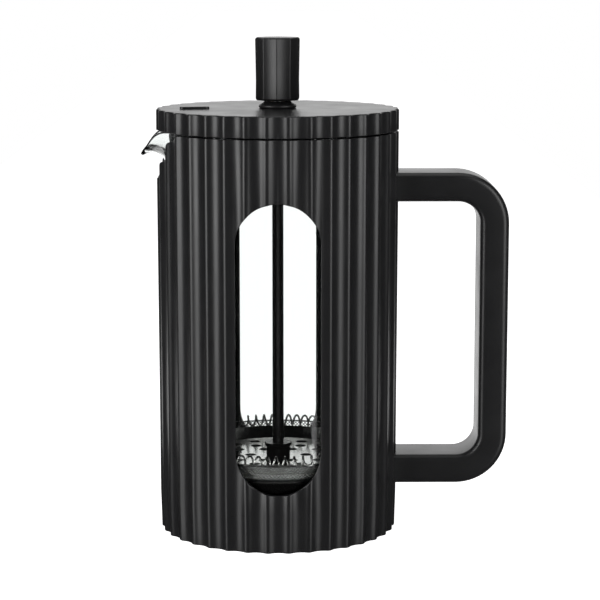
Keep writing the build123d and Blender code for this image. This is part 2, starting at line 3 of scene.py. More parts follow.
import bmesh
import bpy
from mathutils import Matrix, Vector


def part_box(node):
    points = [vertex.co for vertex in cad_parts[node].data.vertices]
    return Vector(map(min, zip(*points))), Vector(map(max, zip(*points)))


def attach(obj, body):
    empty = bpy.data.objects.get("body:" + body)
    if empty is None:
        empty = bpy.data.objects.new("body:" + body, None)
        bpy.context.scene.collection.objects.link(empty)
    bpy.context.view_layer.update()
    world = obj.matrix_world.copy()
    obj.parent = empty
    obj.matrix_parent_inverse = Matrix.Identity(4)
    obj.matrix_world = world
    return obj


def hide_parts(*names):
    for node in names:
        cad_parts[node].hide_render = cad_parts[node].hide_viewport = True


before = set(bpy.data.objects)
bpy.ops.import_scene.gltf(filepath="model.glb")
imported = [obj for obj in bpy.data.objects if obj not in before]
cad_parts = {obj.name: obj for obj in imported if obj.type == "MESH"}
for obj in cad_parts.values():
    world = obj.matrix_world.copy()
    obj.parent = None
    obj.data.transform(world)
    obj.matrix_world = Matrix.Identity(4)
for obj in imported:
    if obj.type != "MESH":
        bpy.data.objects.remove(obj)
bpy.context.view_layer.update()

scene = bpy.context.scene
MM = 0.001

# ---- camera -------------------------------------------------------------------------------
# A long lens a little under a metre away and higher than the lid, square to the front window,
# so the press stands upright and its lid shows as a thin ellipse.

camera_data = bpy.data.cameras.new("camera")
camera_data.lens = 128.0
camera_data.sensor_width = 36.0
camera = bpy.data.objects.new("camera", camera_data)
camera.location = (-0.5 * MM, -941.0 * MM, 253.8 * MM)
camera_tilt, camera_pan = 0.1596, 0.0110
camera.rotation_euler = (math.pi / 2 - camera_tilt, 0, -camera_pan)
scene.collection.objects.link(camera)
scene.camera = camera

# ---- studio: floor, backdrop light and soft boxes --------------------------------------------
# A white sweep with a tall soft box at each side of the camera. The soft boxes stand in every
# flute as a pair of upright bands, and the lit sweep behind makes the top of the lid pale.


def linear(code):
    """Linear RGBA of an sRGB hex colour such as "2b2b2c"."""
    parts = [int(code[i : i + 2], 16) / 255 for i in (0, 2, 4)]
    return [p / 12.92 if p <= 0.04045 else ((p + 0.055) / 1.055) ** 2.4 for p in parts] + [1.0]


def add_node(tree, kind, values=None, links=None, **settings):
    """Adds a node to a tree, sets its attributes and input values, and links its inputs."""
    node = tree.nodes.new(kind)
    for name, value in settings.items():
        setattr(node, name, value)
    for name, value in (values or {}).items():
        node.inputs[name].default_value = value
    for name, socket in (links or {}).items():
        tree.links.new(socket, node.inputs[name])
    return node


scene.view_settings.view_transform = "Standard"

world = bpy.data.worlds.new("studio")
world.use_nodes = True
tree = world.node_tree
tree.nodes.clear()
direction = add_node(tree, "ShaderNodeTexCoord").outputs["Generated"]
axes = add_node(tree, "ShaderNodeSeparateXYZ", links={"Vector": direction})
rays = add_node(tree, "ShaderNodeLightPath")
# light that has passed through glass finds a narrower bright patch that starts lower, so light
# bent at the edges of the spout misses it and draws them dark
bright_side, bright_foot, bright_full = [
    add_node(
        tree, "ShaderNodeMath", {1: change, 2: usual}, {0: rays.outputs["Is Transmission Ray"]},
        operation="MULTIPLY_ADD",
    )
    for change, usual in ((0.30, 0.62), (-0.25, -0.09), (-0.23, -0.03))
]
behind = add_node(
    tree, "ShaderNodeMapRange",
    {"From Max": 0.97, "To Min": 0.0, "To Max": 1.0},
    {"Value": axes.outputs["Y"], "From Min": bright_side.outputs[0]}, interpolation_type="SMOOTHSTEP",
)
above = add_node(
    tree, "ShaderNodeMapRange",
    {"To Min": 0.0, "To Max": 1.0},
    {
        "Value": axes.outputs["Z"], "From Min": bright_foot.outputs[0],
        "From Max": bright_full.outputs[0],
    }, interpolation_type="SMOOTHSTEP",
)
sweep = add_node(
    tree, "ShaderNodeMath", links={0: behind.outputs[0], 1: above.outputs[0]}, operation="MULTIPLY"
)
sweep_strength, dark_studio = 1.2, 0.035
sweep_light = add_node(
    tree, "ShaderNodeMath", {1: sweep_strength, 2: dark_studio}, {0: sweep.outputs[0]},
    operation="MULTIPLY_ADD",
)
lit = add_node(
    tree, "ShaderNodeBackground", {"Color": linear("ffffff")}, {"Strength": sweep_light.outputs[0]}
)
# the backdrop itself is seen as plain white
plain = add_node(tree, "ShaderNodeBackground", {"Color": linear("ffffff"), "Strength": 1.0})
mixed = add_node(
    tree, "ShaderNodeMixShader",
    links={0: rays.outputs["Is Camera Ray"], 1: lit.outputs[0], 2: plain.outputs[0]},
)
add_node(tree, "ShaderNodeOutputWorld", links={"Surface": mixed.outputs[0]})
scene.world = world


def soft_box(name, azimuth, low, high, width, radiance):
    """An upright area light a metre out at an azimuth from the front, facing the press."""
    light = bpy.data.lights.new(name, "AREA")
    light.shape = "RECTANGLE"
    light.size, light.size_y = width, high - low
    # a lamp of radiance L and area A gives pi * L * A watts
    light.energy = math.pi * radiance * light.size * light.size_y
    lamp = bpy.data.objects.new(name, light)
    turn = math.radians(azimuth)
    lamp.location = (math.sin(turn), -math.cos(turn), (low + high) / 2)
    lamp.rotation_euler = (math.pi / 2, 0, turn)
    scene.collection.objects.link(lamp)
    return lamp


for side, azimuth, width, radiance in (("left", -55, 0.50, 4.7), ("right", 48, 0.48, 3.4)):
    soft_box(f"soft_box_{side}", azimuth, 0.0, 1.0, width, radiance)
    soft_box(f"soft_box_{side}_middle", azimuth, -0.16, 0.0, width, 0.62 * radiance)
    soft_box(f"soft_box_{side}_low", azimuth, -0.45, -0.16, width, 0.40 * radiance)

overhead_data = bpy.data.lights.new("overhead", "AREA")
overhead_data.shape = "RECTANGLE"
overhead_data.size, overhead_data.size_y = 1.6, 1.2
overhead_data.energy = math.pi * overhead_data.size * overhead_data.size_y
overhead = bpy.data.objects.new("overhead", overhead_data)
overhead.location = (0, 0.1, 1.5)
scene.collection.objects.link(overhead)


def finish_mesh(name, bm):
    """Turns a bmesh into an object of the scene."""
    bmesh.ops.recalc_face_normals(bm, faces=bm.faces)
    mesh = bpy.data.meshes.new(name)
    bm.to_mesh(mesh)
    bm.free()
    made = bpy.data.objects.new(name, mesh)
    scene.collection.objects.link(made)
    return made


def skin(name, rings, ends="capped"):
    """A closed skin through rings of points, capped at both ends or joined end to end."""
    bm = bmesh.new()
    place = bm.verts.layers.int.new("place")
    bmesh.ops.create_circle(bm, cap_ends=False, segments=len(rings[0]), radius=1.0)
    for index, vert in enumerate(bm.verts):
        vert[place] = index
    verts, edges, outer_loops = list(bm.verts), list(bm.edges), []
    for step, ring in enumerate(rings):
        if step:
            grown = bmesh.ops.extrude_edge_only(bm, edges=edges)["geom"]
            verts = [g for g in grown if isinstance(g, bmesh.types.BMVert)]
            edges = [g for g in grown if isinstance(g, bmesh.types.BMEdge)]
            edges = [e for e in edges if e.verts[0] in set(verts) and e.verts[1] in set(verts)]
        for vert in verts:
            vert.co = ring[vert[place]]
        if step in (0, len(rings) - 1):
            outer_loops.append(list(edges))
    if ends == "joined":
        bmesh.ops.bridge_loops(bm, edges=outer_loops[0] + outer_loops[1])
    else:
        for edge_loop in outer_loops:
            bmesh.ops.contextual_create(bm, geom=edge_loop)
    bm.verts.layers.int.remove(place)
    return finish_mesh(name, bm)


sweep_paper = bpy.data.materials.new("white sweep paper")
sweep_paper.use_nodes = True
paper = sweep_paper.node_tree.nodes["Principled BSDF"]
paper.inputs["Base Color"].default_value = linear("f7f7f7")
paper.inputs["Roughness"].default_value = 0.9
paper.inputs["Specular IOR Level"].default_value = 0.0
paper.inputs["Emission Color"].default_value = linear("ffffff")
paper.inputs["Emission Strength"].default_value = 1.05


def sweep_floor(name, half_width, near, far, mirrored):
    """A strip of the sweep, unseen through glass and in polish unless it is a mirrored one."""
    bm = bmesh.new()
    bmesh.ops.create_grid(bm, x_segments=6, y_segments=24, size=1.0)
    for vert in bm.verts:
        vert.co = (half_width * vert.co.x, near + (far - near) * (vert.co.y + 1) / 2, 0)
    strip = finish_mesh(name, bm)
    strip.data.materials.append(sweep_paper)
    strip.visible_glossy = mirrored
    strip.visible_transmission = False
    strip.visible_shadow = False


sweep_floor("floor", 0.9, -1.2, 0.12, False)
sweep_floor("floor behind", 0.34, 0.12, 9.0, True)

# ---- outer shell ------------------------------------------------------------------------------
# The housing that holds the glass: one injection moulding in black polypropylene with concave
# flutes, two sight windows and a notch for the spout. Its surface is fine spark texture.

FLUTES, FLUTE_DEPTH, ARRIS = 36, 1.35 * MM, 2.1 * MM


def fluted_radius(angle, radius, count, depth, arris):
    """Radius at an angle of a round bar with concave flutes; a flute is centred on angle 0."""
    half = math.pi / count
    centre = radius - arris
    inset = radius - depth - centre * math.cos(half)
    side = centre * math.sin(half)
    flute = (inset**2 + side**2 - arris**2) / (2 * (arris - inset))
    middle = radius - depth + flute
    share = arris / (flute + arris)
    touch = math.atan2(side - share * side, centre * math.cos(half) * (1 - share) + share * middle)
    offset = abs((angle + half) % (2 * half) - half)
    if offset < touch:
        return middle * math.cos(offset) - math.sqrt(flute**2 - (middle * math.sin(offset)) ** 2)
    lean = half - offset
    return centre * math.cos(lean) + math.sqrt(arris**2 - (centre * math.sin(lean)) ** 2)


def corner(height, radius, size, start, end, steps, share):
    """Rings of a rounded corner about (height, radius), from one angle to the other in degrees."""
    rings = []
    for step in range(steps + 1):
        turn = math.radians(start + (end - start) * step / steps)
        rings.append((height + size * math.sin(turn), radius + size * math.cos(turn), share))
    return rings


def fluted_rings(loops, count, depth, arris, turn, steps):
    """Rings of points for (height, radius, share) loops; share 1 has the flutes, 0 is round."""
    rings = []
    angles = [2 * math.pi * i / (count * steps) for i in range(count * steps)]
    for height, radius, share in loops:
        ring = []
        for angle in angles:
            reach = radius
            if share:
                reach += share * (fluted_radius(angle, radius, count, depth, arris) - radius)
            ring.append((reach * math.cos(angle + turn), reach * math.sin(angle + turn), height))
        rings.append(ring)
    return rings


def smooth(made, sharp_degrees=32):
    """Shades a piece smooth, with its real corners kept sharp."""
    made.data.polygons.foreach_set("use_smooth", [True] * len(made.data.polygons))
    made.data.set_sharp_from_angle(angle=math.radians(sharp_degrees))


shell_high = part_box("outer_shell")[1]
glass_low, glass_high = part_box("beaker")
pad_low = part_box("beaker_pad")[0]
glass_radius = glass_high.x
shell_top = shell_high.z
shell_radius = 53.45 * MM
waist_radius, waist_height = 53.05 * MM, 17.0 * MM
foot_radius, foot_round = 52.6 * MM, 0.6 * MM
bore_radius = glass_radius + 0.7 * MM
floor_top = pad_low.z
rim_round = 0.3 * MM
recess_in, recess_out, recess_deep = 26.0 * MM, 45.0 * MM, 1.0 * MM
ease = 0.3 * MM

shell_loops = [
    (0, 2 * MM, 0), (0, recess_in - ease, 0), (ease, recess_in, 0),
    (recess_deep, recess_in + 0.2 * MM, 0), (recess_deep, recess_out - 0.2 * MM, 0),
    (ease, recess_out, 0), (0, recess_out + ease, 0), (0, recess_out + 2 * MM, 0),
    (0, foot_radius - foot_round - 0.6 * MM, 1),
    *corner(foot_round, foot_radius - foot_round, foot_round, -90, 0, 6, 1),
    (6 * MM, foot_radius + 0.13 * MM, 1), (waist_height, waist_radius, 1),
    (60 * MM, waist_radius + 0.11 * MM, 1), (120 * MM, waist_radius + 0.26 * MM, 1),
    *corner(shell_top - rim_round, shell_radius - rim_round, rim_round, 0, 90, 4, 1),
    *corner(shell_top - rim_round, bore_radius + rim_round, rim_round, 90, 180, 4, 0),
    (120 * MM, bore_radius, 0), (60 * MM, bore_radius, 0),
    (floor_top + 1 * MM, bore_radius, 0), (floor_top, bore_radius - 1 * MM, 0), (floor_top, 2 * MM, 0),
]
shell = skin("fluted_housing", fluted_rings(shell_loops, FLUTES, FLUTE_DEPTH, ARRIS, 0, 18))

# the windows are a full-round slot cut straight through front and rear
window_half, window_low, window_high = 18.3 * MM, 25.4 * MM, shell_top - 26.9 * MM


def prism(name, outline, axis, reach):
    """A cutter: an outline of (across, height) points drawn out along X or Y."""
    ends = []
    for depth in reach:
        ends.append([(a, depth, h) if axis == "Y" else (depth, a, h) for a, h in outline])
    return skin(name, ends)


slot_steps = 40
slot_outline = []
for end_height, first in ((window_high - window_half, 0), (window_low + window_half, math.pi)):
    for step in range(slot_steps + 1):
        turn = first + math.pi * step / slot_steps
        slot_outline.append((window_half * math.cos(turn), end_height + window_half * math.sin(turn)))


def rounded(points, radii, steps):
    """A polyline with its inner corners rounded; returns the points along it."""
    line = [Vector(points[0])]
    for before, at, after, radius in zip(points, points[1:], points[2:], radii):
        here = Vector(at)
        back, ahead = (Vector(before) - here).normalized(), (Vector(after) - here).normalized()
        half = back.angle(ahead) / 2
        centre = here + (back + ahead).normalized() * radius / math.sin(half)
        first = here + back * radius / math.tan(half) - centre
        last = here + ahead * radius / math.tan(half) - centre
        for step in range(steps + 1):
            line.append(centre + first.lerp(last, step / steps).normalized() * radius)
    return line + [Vector(points[-1])]


notch_half = [
    (34.0 * MM, shell_top + 0.6 * MM), (22.4 * MM, shell_top - 3.6 * MM),
    (22.4 * MM, shell_top - 9.5 * MM), (14.5 * MM, shell_top - 12.6 * MM),
]
notch_points = [(-x, z) for x, z in notch_half] + [(0, shell_top - 27.1 * MM)] + notch_half[::-1]
notch_line = rounded(notch_points, [r * MM for r in (3.0, 1.8, 4.0, 14.0, 4.0, 1.8, 3.0)], 9)
# the cutters end outside the housing, and the notch's stops short of the far wall
cutter_reach, notch_reach = 70 * MM, 20 * MM
cutters = [
    prism("window_cutter", slot_outline, "Y", (-cutter_reach, cutter_reach)),
    prism("notch_cutter", [tuple(p) for p in notch_line], "X", (-cutter_reach, -notch_reach)),
]


def cut(made, tools):
    """Cuts the tools out of a piece and keeps the result as its mesh."""
    for tool in tools:
        knife = made.modifiers.new(tool.name, "BOOLEAN")
        knife.object, knife.operation, knife.solver = tool, "DIFFERENCE", "EXACT"
    bpy.context.view_layer.update()
    result = bpy.data.meshes.new_from_object(made.evaluated_get(bpy.context.evaluated_depsgraph_get()))
    made.modifiers.clear()
    made.data = result
    for tool in tools:
        bpy.data.objects.remove(tool)


def ease_edges(made, width, lowest_angle, segments, chosen):
    """Rounds the chosen sharp edges of a piece by a small real radius."""
    bm = bmesh.new()
    bm.from_mesh(made.data)
    bmesh.ops.remove_doubles(bm, verts=bm.verts, dist=0.03 * MM)
    bmesh.ops.dissolve_degenerate(bm, edges=bm.edges, dist=0.01 * MM)
    sharp = [
        e for e in bm.edges
        if len(e.link_faces) == 2 and e.calc_face_angle() > math.radians(lowest_angle) and chosen(e)
    ]
    bmesh.ops.bevel(
        bm, geom=sharp, offset=width, segments=segments, profile=0.5, affect="EDGES",
        material=-1, clamp_overlap=False, loop_slide=True,
    )
    bm.to_mesh(made.data)
    bm.free()


def on_a_cut(edge):
    """True on the edges that the windows and the notch leave in the wall."""
    middle = (edge.verts[0].co + edge.verts[1].co) / 2
    in_window = abs(middle.x) < window_half + ease and 20 * MM < middle.z < 160 * MM
    in_notch = middle.x < -40 * MM and 145 * MM < middle.z < shell_top - 0.5 * MM
    return math.hypot(middle.x, middle.y) > bore_radius - ease and (in_window or in_notch)


cut(shell, cutters)
ease_edges(shell, 0.35 * MM, 40, 3, on_a_cut)
smooth(shell)


def moulded_plastic(name, colour, roughness, grain, depth):
    """Plastic from a spark-eroded mould: satin with an even grain, faint clouding where the melt
    flowed, and a painted highlight: its sharp ridges and corners are painted a mid grey."""
    finish = bpy.data.materials.new(name)
    finish.use_nodes = True
    tree = finish.node_tree
    shader = tree.nodes["Principled BSDF"]
    place = add_node(tree, "ShaderNodeTexCoord").outputs["Object"]
    pits = add_node(
        tree, "ShaderNodeTexNoise", {"Scale": 1 / grain, "Detail": 2.0, "Roughness": 0.6}, {"Vector": place}
    )
    clouds = add_node(
        tree, "ShaderNodeTexNoise", {"Scale": 1 / (14 * MM), "Detail": 3.0, "Roughness": 0.5},
        {"Vector": place},
    )
    # sharp ridges and corners, found by pointiness, are mixed toward a mid grey (343435): a painted
    # highlight along the arrises
    edge = add_node(tree, "ShaderNodeNewGeometry").outputs["Pointiness"]
    ridge_painted_highlight = add_node(
        tree, "ShaderNodeMapRange",
        {"From Min": 0.53, "From Max": 0.60, "To Min": 0.0, "To Max": 0.35}, {"Value": edge},
    )
    tone = add_node(tree, "ShaderNodeMix", links={0: clouds.outputs["Fac"]}, data_type="RGBA")
    tone.inputs[6].default_value = linear(colour)
    tone.inputs[7].default_value = [1.3 * c for c in linear(colour)[:3]] + [1.0]
    tone_and_ridge_painted_highlight = add_node(tree, "ShaderNodeMix", links={0: ridge_painted_highlight.outputs[0]}, data_type="RGBA")
    tone_and_ridge_painted_highlight.inputs[7].default_value = linear("343435")
    tree.links.new(tone.outputs[2], tone_and_ridge_painted_highlight.inputs[6])
    tree.links.new(tone_and_ridge_painted_highlight.outputs[2], shader.inputs["Base Color"])
    dull = add_node(
        tree, "ShaderNodeMapRange",
        {"From Min": 0.3, "From Max": 0.7, "To Min": roughness - 0.07, "To Max": roughness},
        {"Value": clouds.outputs["Fac"]},
    )
    speck = add_node(
        tree, "ShaderNodeMath", {1: 0.10}, {0: pits.outputs["Fac"], 2: dull.outputs[0]},
        operation="MULTIPLY_ADD",
    )
    tree.links.new(speck.outputs[0], shader.inputs["Roughness"])
    relief = add_node(
        tree, "ShaderNodeBump", {"Strength": 1.0, "Distance": depth}, {"Height": pits.outputs["Fac"]}
    )
    tree.links.new(relief.outputs[0], shader.inputs["Normal"])
    return finish


def dress(made, finish, body=None, nodes=()):
    """Gives a piece its material and, for a piece made here, its body and what it replaces."""
    made.data.materials.clear()
    made.data.materials.append(finish)
    if body:
        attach(made, body)
        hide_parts(*nodes)


housing_plastic = moulded_plastic("spark-textured polypropylene", "131314", 0.31, 0.45 * MM, 0.010 * MM)
dress(shell, housing_plastic, "housing", ["outer_shell"])

# ---- pad, handle and screws ---------------------------------------------------------------------
# The glass stands on a silicone ring. The handle is a closed D moulded in the same plastic as the
# housing, its arms let into the flutes and held by countersunk screws from inside the wall.


def soft_rubber(name, colour):
    """Moulded silicone: dull, a little dusty, with a skin of very small pits."""
    finish = bpy.data.materials.new(name)
    finish.use_nodes = True
    tree = finish.node_tree
    shader = tree.nodes["Principled BSDF"]
    place = add_node(tree, "ShaderNodeTexCoord").outputs["Object"]
    dust = add_node(tree, "ShaderNodeTexNoise", {"Scale": 1 / (5 * MM), "Detail": 4.0}, {"Vector": place})
    pits = add_node(tree, "ShaderNodeTexNoise", {"Scale": 1 / (0.25 * MM), "Detail": 2.0}, {"Vector": place})
    tone = add_node(tree, "ShaderNodeMix", links={0: dust.outputs["Fac"]}, data_type="RGBA")
    tone.inputs[6].default_value = linear(colour)
    tone.inputs[7].default_value = [1.5 * c for c in linear(colour)[:3]] + [1.0]
    tree.links.new(tone.outputs[2], shader.inputs["Base Color"])
    shader.inputs["Roughness"].default_value = 0.62
    shader.inputs["Sheen Weight"].default_value = 0.15
    relief = add_node(
        tree, "ShaderNodeBump", {"Strength": 0.6, "Distance": 0.01 * MM}, {"Height": pits.outputs["Fac"]}
    )
    tree.links.new(relief.outputs[0], shader.inputs["Normal"])
    return finish


silicone = soft_rubber("black silicone", "1c1c1e")
dress(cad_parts["beaker_pad"], silicone)


def oblong(length, width, corner_radius, inset=0.0):
    """Points round an oblong with rounded corners, which an inset makes smaller all round."""
    points = []
    radius = corner_radius - inset
    for across, along, first in ((1, 1, 0), (-1, 1, 90), (-1, -1, 180), (1, -1, 270)):
        for step in range(8):
            turn = math.radians(first + 90 * step / 7)
            points.append((
                across * (length / 2 - corner_radius) + radius * math.cos(turn),
                along * (width / 2 - corner_radius) + radius * math.sin(turn),
            ))
    return points


handle_low, handle_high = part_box("handle")
bar_thick, bar_deep, bar_round = 12.8 * MM, handle_high.y - handle_low.y, 3.0 * MM
bend_radius = 9.7 * MM + bar_thick / 2
root_x = bore_radius + 0.5 * MM
section = oblong(bar_thick, bar_deep, bar_round)
mid_x = handle_high.x - bar_thick / 2
top_z, low_z = handle_high.z - bar_thick / 2, handle_low.z + bar_thick / 2
arm_length, grip_length = mid_x - bend_radius - root_x, top_z - low_z - 2 * bend_radius
bend_steps = 16
# each station is a place on the bar's centre line and the angle that the section faces
stations = [(root_x + arm_length * s / 4, top_z, 90.0) for s in range(4)]
for step in range(bend_steps + 1):
    turn = 90 - 90 * step / bend_steps
    stations.append((
        mid_x - bend_radius + bend_radius * math.cos(math.radians(turn)),
        top_z - bend_radius + bend_radius * math.sin(math.radians(turn)), turn,
    ))
stations += [(mid_x, top_z - bend_radius - grip_length * s / 8, 0.0) for s in range(1, 8)]
for step in range(bend_steps + 1):
    turn = -90 * step / bend_steps
    stations.append((
        mid_x - bend_radius + bend_radius * math.cos(math.radians(turn)),
        low_z + bend_radius + bend_radius * math.sin(math.radians(turn)), turn,
    ))
stations += [(root_x + arm_length * s / 4, low_z, -90.0) for s in (3, 2, 1, 0)]
handle_rings = []
for x, z, turn in stations:
    out_x, out_z = math.cos(math.radians(turn)), math.sin(math.radians(turn))
    handle_rings.append([(x + a * out_x, b, z + a * out_z) for a, b in section])
handle = skin("grip", handle_rings)
smooth(handle)
grip_plastic = moulded_plastic("spark-textured grip", "131314", 0.33, 0.5 * MM, 0.012 * MM)
dress(handle, grip_plastic, "housing", ["handle"])


def metal(name, colour, roughness, streak, marks, stretch=(1, 1, 1), depth=0.004 * MM):
    """Steel or brass with fine drawn or turned marks, `streak` metres apart, and faint smears."""
    finish = bpy.data.materials.new(name)
    finish.use_nodes = True
    tree = finish.node_tree
    shader = tree.nodes["Principled BSDF"]
    shader.inputs["Metallic"].default_value = 1.0
    place = add_node(tree, "ShaderNodeTexCoord").outputs["Object"]
    drawn = add_node(tree, "ShaderNodeMapping", {"Scale": stretch}, {"Vector": place})
    lines = add_node(
        tree, "ShaderNodeTexNoise", {"Scale": 1 / streak, "Detail": 3.0}, {"Vector": drawn.outputs[0]}
    )
    smears = add_node(tree, "ShaderNodeTexNoise", {"Scale": 1 / (9 * MM), "Detail": 4.0}, {"Vector": place})
    tone = add_node(tree, "ShaderNodeMix", links={0: smears.outputs["Fac"]}, data_type="RGBA")
    tone.inputs[6].default_value = [0.86 * c for c in linear(colour)[:3]] + [1.0]
    tone.inputs[7].default_value = linear(colour)
    tree.links.new(tone.outputs[2], shader.inputs["Base Color"])
    wear = add_node(
        tree, "ShaderNodeMath", {1: marks, 2: roughness - 0.4 * marks}, {0: lines.outputs["Fac"]},
        operation="MULTIPLY_ADD",
    )
    hazed = add_node(
        tree, "ShaderNodeMath", {1: 0.5 * marks}, {0: smears.outputs["Fac"], 2: wear.outputs[0]},
        operation="MULTIPLY_ADD",
    )
    tree.links.new(hazed.outputs[0], shader.inputs["Roughness"])
    relief = add_node(
        tree, "ShaderNodeBump", {"Strength": 0.5, "Distance": depth}, {"Height": lines.outputs["Fac"]}
    )
    tree.links.new(relief.outputs[0], shader.inputs["Normal"])
    return finish


turned_steel = metal("turned steel", "c2c2c0", 0.22, 0.3 * MM, 0.16)
dress(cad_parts["handle_screws"], turned_steel)

# ---- beaker ------------------------------------------------------------------------------------
# Borosilicate glass, blown as a straight cup. Its rim is fire-polished, and while still soft it
# was drawn out and down over a narrow sector into a beak that hooks over at the tip.

wall, lip_wall = 1.8 * MM, 1.7 * MM
glass_bottom, glass_rim = glass_low.z, glass_high.z
glass_corner, push_up, glass_floor = 7.0 * MM, 1.4 * MM, 2.6 * MM
foot_ring = 30.0 * MM
spout_sector = math.radians(22.5)
spout_start = glass_rim - 18.0 * MM
lip_bead = 1.35 * MM
spout_tip = -glass_low.x - lip_bead
# beak profile, as millimetres beyond the wall and below the rim, from wall to tip
beak = [
    (0.0, 18.0), (0.0, 15.6), (0.35, 13.6), (1.6, 11.6), (3.6, 10.2), (6.0, 9.5), (8.2, 9.6),
    (9.8, 10.2), (10.7, 10.7),
]
beak = [(r * MM, d * MM) for r, d in beak]
beak_scale = (spout_tip - glass_radius) / beak[-1][0]


def spline(points, share):
    """Point at a share of the length of an evenly stepped Catmull-Rom curve."""
    span = share * (len(points) - 1)
    index = min(int(span), len(points) - 2)
    t = span - index
    p = [points[min(max(index + k, 0), len(points) - 1)] for k in (-1, 0, 1, 2)]
    return [
        0.5 * (2 * b + (c - a) * t + (2 * a - 5 * b + 4 * c - d) * t * t + (3 * b - a - 3 * c + d) * t**3)
        for a, b, c, d in zip(*p)
    ]


def drawn_out(angle, share):
    """Radius and height on the outside of the wall at a share of the way up to the lip."""
    away = abs(angle % (2 * math.pi) - math.pi) / spout_sector
    straight = spout_start + (glass_rim - spout_start) * share
    if away >= 1:
        return glass_radius, straight
    soft = 0.16
    pull = (math.hypot(1, soft) - math.hypot(away, soft)) / (math.hypot(1, soft) - soft)
    pull = 1.12 * pull * pull / (pull + 0.12)
    reach, drop = spline(beak, share)
    fall = pull**3.2
    return glass_radius + beak_scale * reach * pull, straight + fall * (glass_rim - drop - straight)


sides, lip_steps = 240, 34
angles = [2 * math.pi * i / sides for i in range(sides)]
# more points round the spout: ease the even angles towards it
angles = [a + 0.55 * math.sin(a) for a in angles]


def turned(points):
    """Rings round the axis through (radius, height) points."""
    return [[(r * math.cos(a), r * math.sin(a), z) for a in angles] for r, z in points]


profile = [(2 * MM, glass_bottom + push_up), (foot_ring - 4.2 * MM, glass_bottom + push_up)]
profile += [(foot_ring - 1.4 * MM, glass_bottom + 0.3 * MM), (foot_ring, glass_bottom)]
for step in range(9):
    turn = math.radians(-90 + 90 * step / 8)
    profile.append((
        glass_radius - glass_corner + glass_corner * math.cos(turn),
        glass_bottom + glass_corner + glass_corner * math.sin(turn),
    ))
profile += [(glass_radius, 60 * MM), (glass_radius, 110 * MM), (glass_radius, 150 * MM)]
glass_rings = turned(profile)
for step in range(lip_steps + 1):
    ring = []
    for a in angles:
        r, z = drawn_out(a, step / lip_steps)
        ring.append((r * math.cos(a), r * math.sin(a), z))
    glass_rings.append(ring)


def inside(step, thickness, lift):
    """The ring of the inner face over an outer ring, square to the profile at each angle."""
    ring = []
    for a in angles:
        low = drawn_out(a, max(step - 0.5, 0) / lip_steps)
        high = drawn_out(a, min(step + 0.5, lip_steps) / lip_steps)
        along = Vector((high[0] - low[0], high[1] - low[1])).normalized()
        r, z = drawn_out(a, step / lip_steps)
        r, z = r - along.y * thickness + along.x * lift, z + along.x * thickness + along.y * lift
        ring.append((r * math.cos(a), r * math.sin(a), z))
    return ring


# the fire-polished lip is a half round between the outer and the inner face
for step in range(1, 8):
    turn = math.pi * step / 8
    share = (1 - math.cos(turn)) / 2
    glass_rings.append(inside(lip_steps, share * lip_wall, 0.5 * lip_wall * math.sin(turn)))
for step in range(lip_steps, -1, -1):
    taper = min(1.0, (lip_steps - step) / 10)
    glass_rings.append(inside(step, lip_wall + (wall - lip_wall) * taper, 0))
inner_radius = glass_radius - wall
floor_level = glass_bottom + push_up + glass_floor
inner_corner = glass_corner - wall
profile = [(inner_radius, 150 * MM), (inner_radius, 110 * MM), (inner_radius, 60 * MM)]
for step in range(9):
    turn = math.radians(-90 * step / 8)
    profile.append((
        inner_radius - inner_corner + inner_corner * math.cos(turn),
        floor_level + inner_corner + inner_corner * math.sin(turn),
    ))
profile.append((2 * MM, floor_level))
glass_rings += turned(profile)
beaker = skin("blown_glass", glass_rings)
smooth(beaker, 60)

borosilicate = bpy.data.materials.new("borosilicate glass")
borosilicate.use_nodes = True
tree = borosilicate.node_tree
shader = tree.nodes["Principled BSDF"]
shader.inputs["Base Color"].default_value = linear("fbfdfc")
shader.inputs["Transmission Weight"].default_value = 1.0
shader.inputs["IOR"].default_value = 1.47
place = add_node(tree, "ShaderNodeTexCoord").outputs["Object"]
# drawing the tube leaves long faint waves up the wall, and wiping leaves thin smears
upright = add_node(tree, "ShaderNodeMapping", {"Scale": (1.0, 1.0, 0.12)}, {"Vector": place})
waves = add_node(
    tree, "ShaderNodeTexNoise", {"Scale": 1 / (11 * MM), "Detail": 1.0}, {"Vector": upright.outputs[0]}
)
wipes = add_node(tree, "ShaderNodeTexNoise", {"Scale": 1 / (4 * MM), "Detail": 5.0}, {"Vector": place})
haze = add_node(
    tree, "ShaderNodeMapRange",
    {"From Min": 0.5, "From Max": 0.8, "To Min": 0.0, "To Max": 0.025}, {"Value": wipes.outputs["Fac"]},
)
tree.links.new(haze.outputs[0], shader.inputs["Roughness"])
relief = add_node(
    tree, "ShaderNodeBump", {"Strength": 0.25, "Distance": 0.02 * MM}, {"Height": waves.outputs["Fac"]}
)
tree.links.new(relief.outputs[0], shader.inputs["Normal"])
dress(beaker, borosilicate, "glass", ["beaker"])

# ---- lid: cover, marker, liner and seal -----------------------------------------------------------
# A fluted cap that carries the housing's flutes on upwards, with a raised bar that points to the
# pouring side. Below it the liner plugs the glass and holds a silicone ring.

